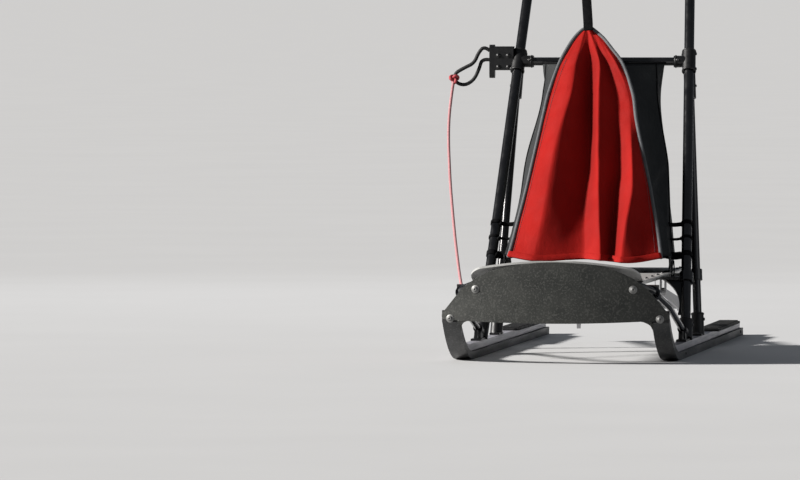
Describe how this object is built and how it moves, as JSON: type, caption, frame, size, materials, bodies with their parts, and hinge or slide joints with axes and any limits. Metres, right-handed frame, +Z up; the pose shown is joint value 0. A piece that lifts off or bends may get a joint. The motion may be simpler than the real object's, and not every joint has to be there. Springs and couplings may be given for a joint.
{
  "type": "dog sled",
  "caption": "Racing dog sled with turned-up runners, raked tube frame, handle bow, tapered cloth bag, bent front guard, snub rope and a hinged claw brake.",
  "frame": {"origin": "on the snow, midway between the runners and midway between the guard's nose and the runner tails", "axes": "+X is the sled's left, +Y its tail and -Y its nose, +Z up"},
  "size_m": [0.705, 2.07, 1.0196],
  "materials": {
    "rail_alloy": "satin extruded alloy, light scuffs",
    "shoe_plastic": "black sliding plastic, worn",
    "frame_tube": "black satin coated tube",
    "clamp_plastic": "black moulded plastic",
    "guard_plastic": "dark bent plastic sheet",
    "bed_plastic": "pale bed sheet, satin",
    "bag_red": "red coated cloth",
    "bag_grey": "dark grey woven cloth",
    "webbing": "black webbing",
    "foam_grip": "black foam",
    "board_rubber": "ribbed black rubber",
    "rope_black": "black braided rope",
    "rope_red": "red braided rope",
    "brake_steel": "hardened steel claws"
  },
  "bodies": {
    "sled": {"arm_bracket_left": "clamp_plastic", "arm_bracket_right": "clamp_plastic", "arm_left": "frame_tube", "arm_right": "frame_tube", "bag_body": "bag_grey", "bag_cover": "bag_red", "bag_strap": "webbing", "bag_ties_left": "webbing", "bag_ties_right": "webbing", "bed_sheet": "bed_plastic", "brake_hinges": "rail_alloy", "clamp_left": "clamp_plastic", "clamp_right": "clamp_plastic", "cross_member_front": "frame_tube", "cross_member_middle": "frame_tube", "cross_member_rear": "frame_tube", "crossbar": "frame_tube", "footboard_left": "board_rubber", "footboard_right": "board_rubber", "front_guard": "guard_plastic", "front_hoop": "frame_tube", "gusset_left": "clamp_plastic", "gusset_right": "clamp_plastic", "handle_bow": "frame_tube", "handle_grip": "foam_grip", "rope_cleat": "clamp_plastic", "rope_knot": "rope_red", "rope_loop": "rope_black", "runner_rail_left": "rail_alloy", "runner_rail_right": "rail_alloy", "runner_shoe_left": "shoe_plastic", "runner_shoe_right": "shoe_plastic", "side_bar_left": "frame_tube", "side_bar_right": "frame_tube", "snub_hitch": "rope_red", "snub_line": "rope_red", "tip_block_left": "clamp_plastic", "tip_block_right": "clamp_plastic", "upright_bracket_left": "clamp_plastic", "upright_bracket_right": "clamp_plastic", "upright_left": "frame_tube", "upright_right": "frame_tube"},
    "brake": {"brake_arm_left": "rail_alloy", "brake_arm_right": "rail_alloy", "brake_bar": "frame_tube", "brake_claws": "brake_steel", "brake_pad": "board_rubber"}
  },
  "joints": [
    {"name": "brake_hinge", "type": "hinge", "parent": "sled", "child": "brake", "pos_m": [0, 0.02876, 0.15], "axis": [-1, 0, 0], "range_deg": [0, 10], "stiffness_Nm_per_rad": 8, "springref_deg": -37.82}
  ]
}
